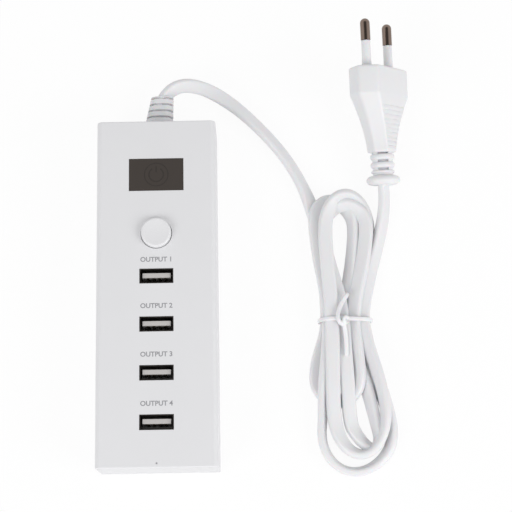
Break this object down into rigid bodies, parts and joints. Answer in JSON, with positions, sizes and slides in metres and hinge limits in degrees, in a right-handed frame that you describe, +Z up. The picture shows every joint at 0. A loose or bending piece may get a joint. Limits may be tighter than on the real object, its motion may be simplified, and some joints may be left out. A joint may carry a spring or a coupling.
{
  "type": "multi-port usb charger",
  "caption": "White slab charger with a row of upright charging sockets, a smoked indicator window, a round push button and a hanked flat mains lead ending in a flat pin plug.",
  "frame": {"origin": "centre of the case's underside", "axes": "+Y along the case towards the mains lead, +X to the right seen from above with the lead at the top, +Z up, the way the sockets face"},
  "size_m": [0.1287, 0.188, 0.0307],
  "materials": {
    "white_abs": "fine moulded satin",
    "button_abs": "polished moulding",
    "smoked_acrylic": "polished, smoked",
    "lamp_epoxy": "clear tinted epoxy",
    "switch_nylon": "moulded",
    "socket_steel": "tin plated sheet",
    "socket_insulator": "moulded",
    "contact_brass": "gold flashed",
    "board_laminate": "solder mask on glass laminate",
    "ferrite": "sintered, dark",
    "winding_tape": "polyester tape over wire",
    "bobbin_phenolic": "moulded",
    "capacitor_can": "sleeved can",
    "chip_epoxy": "moulded epoxy",
    "fuse_body": "plated end caps",
    "blue_epoxy": "dipped epoxy",
    "live_pvc": "extruded",
    "neutral_pvc": "extruded",
    "white_pvc": "soft satin moulding",
    "tie_pvc": "coated wire ribbon",
    "nickel_brass": "nickel plated",
    "screw_steel": "zinc plated"
  },
  "bodies": {
    "charger": {"top_cover": "white_abs", "bottom_cover": "white_abs", "indicator_window": "smoked_acrylic", "indicator_led": "lamp_epoxy", "switch_body": "switch_nylon", "usb_shell_1": "socket_steel", "usb_shell_2": "socket_steel", "usb_shell_3": "socket_steel", "usb_shell_4": "socket_steel", "usb_insulator_1": "socket_insulator", "usb_insulator_2": "socket_insulator", "usb_insulator_3": "socket_insulator", "usb_insulator_4": "socket_insulator", "usb_contacts_1": "contact_brass", "usb_contacts_2": "contact_brass", "usb_contacts_3": "contact_brass", "usb_contacts_4": "contact_brass", "circuit_board": "board_laminate", "transformer_core": "ferrite", "output_choke": "ferrite", "transformer_winding": "winding_tape", "transformer_bobbin": "bobbin_phenolic", "bulk_capacitor": "capacitor_can", "output_capacitors": "capacitor_can", "bridge_rectifier": "chip_epoxy", "controller_chip": "chip_epoxy", "optical_coupler": "chip_epoxy", "input_fuse": "fuse_body", "safety_capacitor": "blue_epoxy", "live_wire": "live_pvc", "neutral_wire": "neutral_pvc", "strain_relief": "white_pvc", "cord_lead": "white_pvc", "cord_hank": "white_pvc", "cord_tail": "white_pvc", "plug_body": "white_pvc", "pin_sleeves": "white_pvc", "cord_tie": "tie_pvc", "plug_pins": "nickel_brass", "case_screws": "screw_steel"},
    "button": {"power_button": "button_abs", "switch_plunger": "switch_nylon"}
  },
  "joints": [
    {"name": "button_press", "type": "slide", "parent": "charger", "child": "button", "axis": [0, 0, -1], "range_m": [0, 0.002], "stiffness_N_per_m": 400, "springref_m": -0.002}
  ]
}
